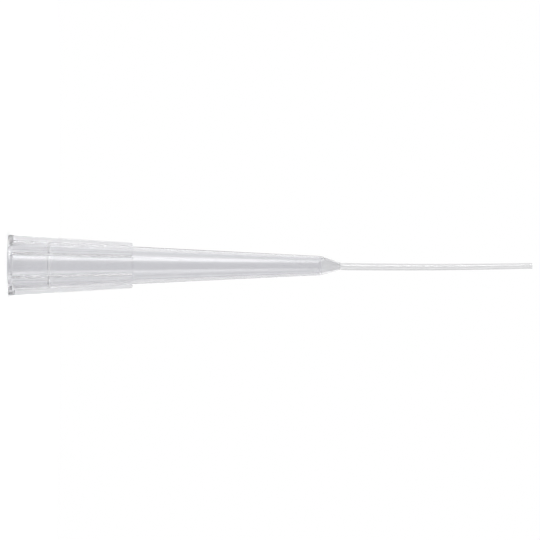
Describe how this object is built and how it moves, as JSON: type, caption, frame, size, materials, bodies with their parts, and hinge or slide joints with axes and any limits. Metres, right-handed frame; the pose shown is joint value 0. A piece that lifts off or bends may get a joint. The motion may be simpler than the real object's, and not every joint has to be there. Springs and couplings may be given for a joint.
{
  "type": "pipette tip",
  "caption": "Gel-loading pipette tip: ribbed collar with a tapered socket, hollow tapered body and a long, thin open capillary.",
  "frame": {"origin": "centre of the mouth's rim, on the surface that the tip stands on", "axes": "+Z along the tip's axis, from the mouth to the capillary's open end; +X along one of the collar's ribs"},
  "size_m": [0.0072, 0.0072, 0.062],
  "materials": {
    "polypropylene": "natural polypropylene, translucent and slightly milky, smooth as moulded"
  },
  "bodies": {
    "root": {"pipette_tip": "polypropylene"}
  },
  "joints": []
}
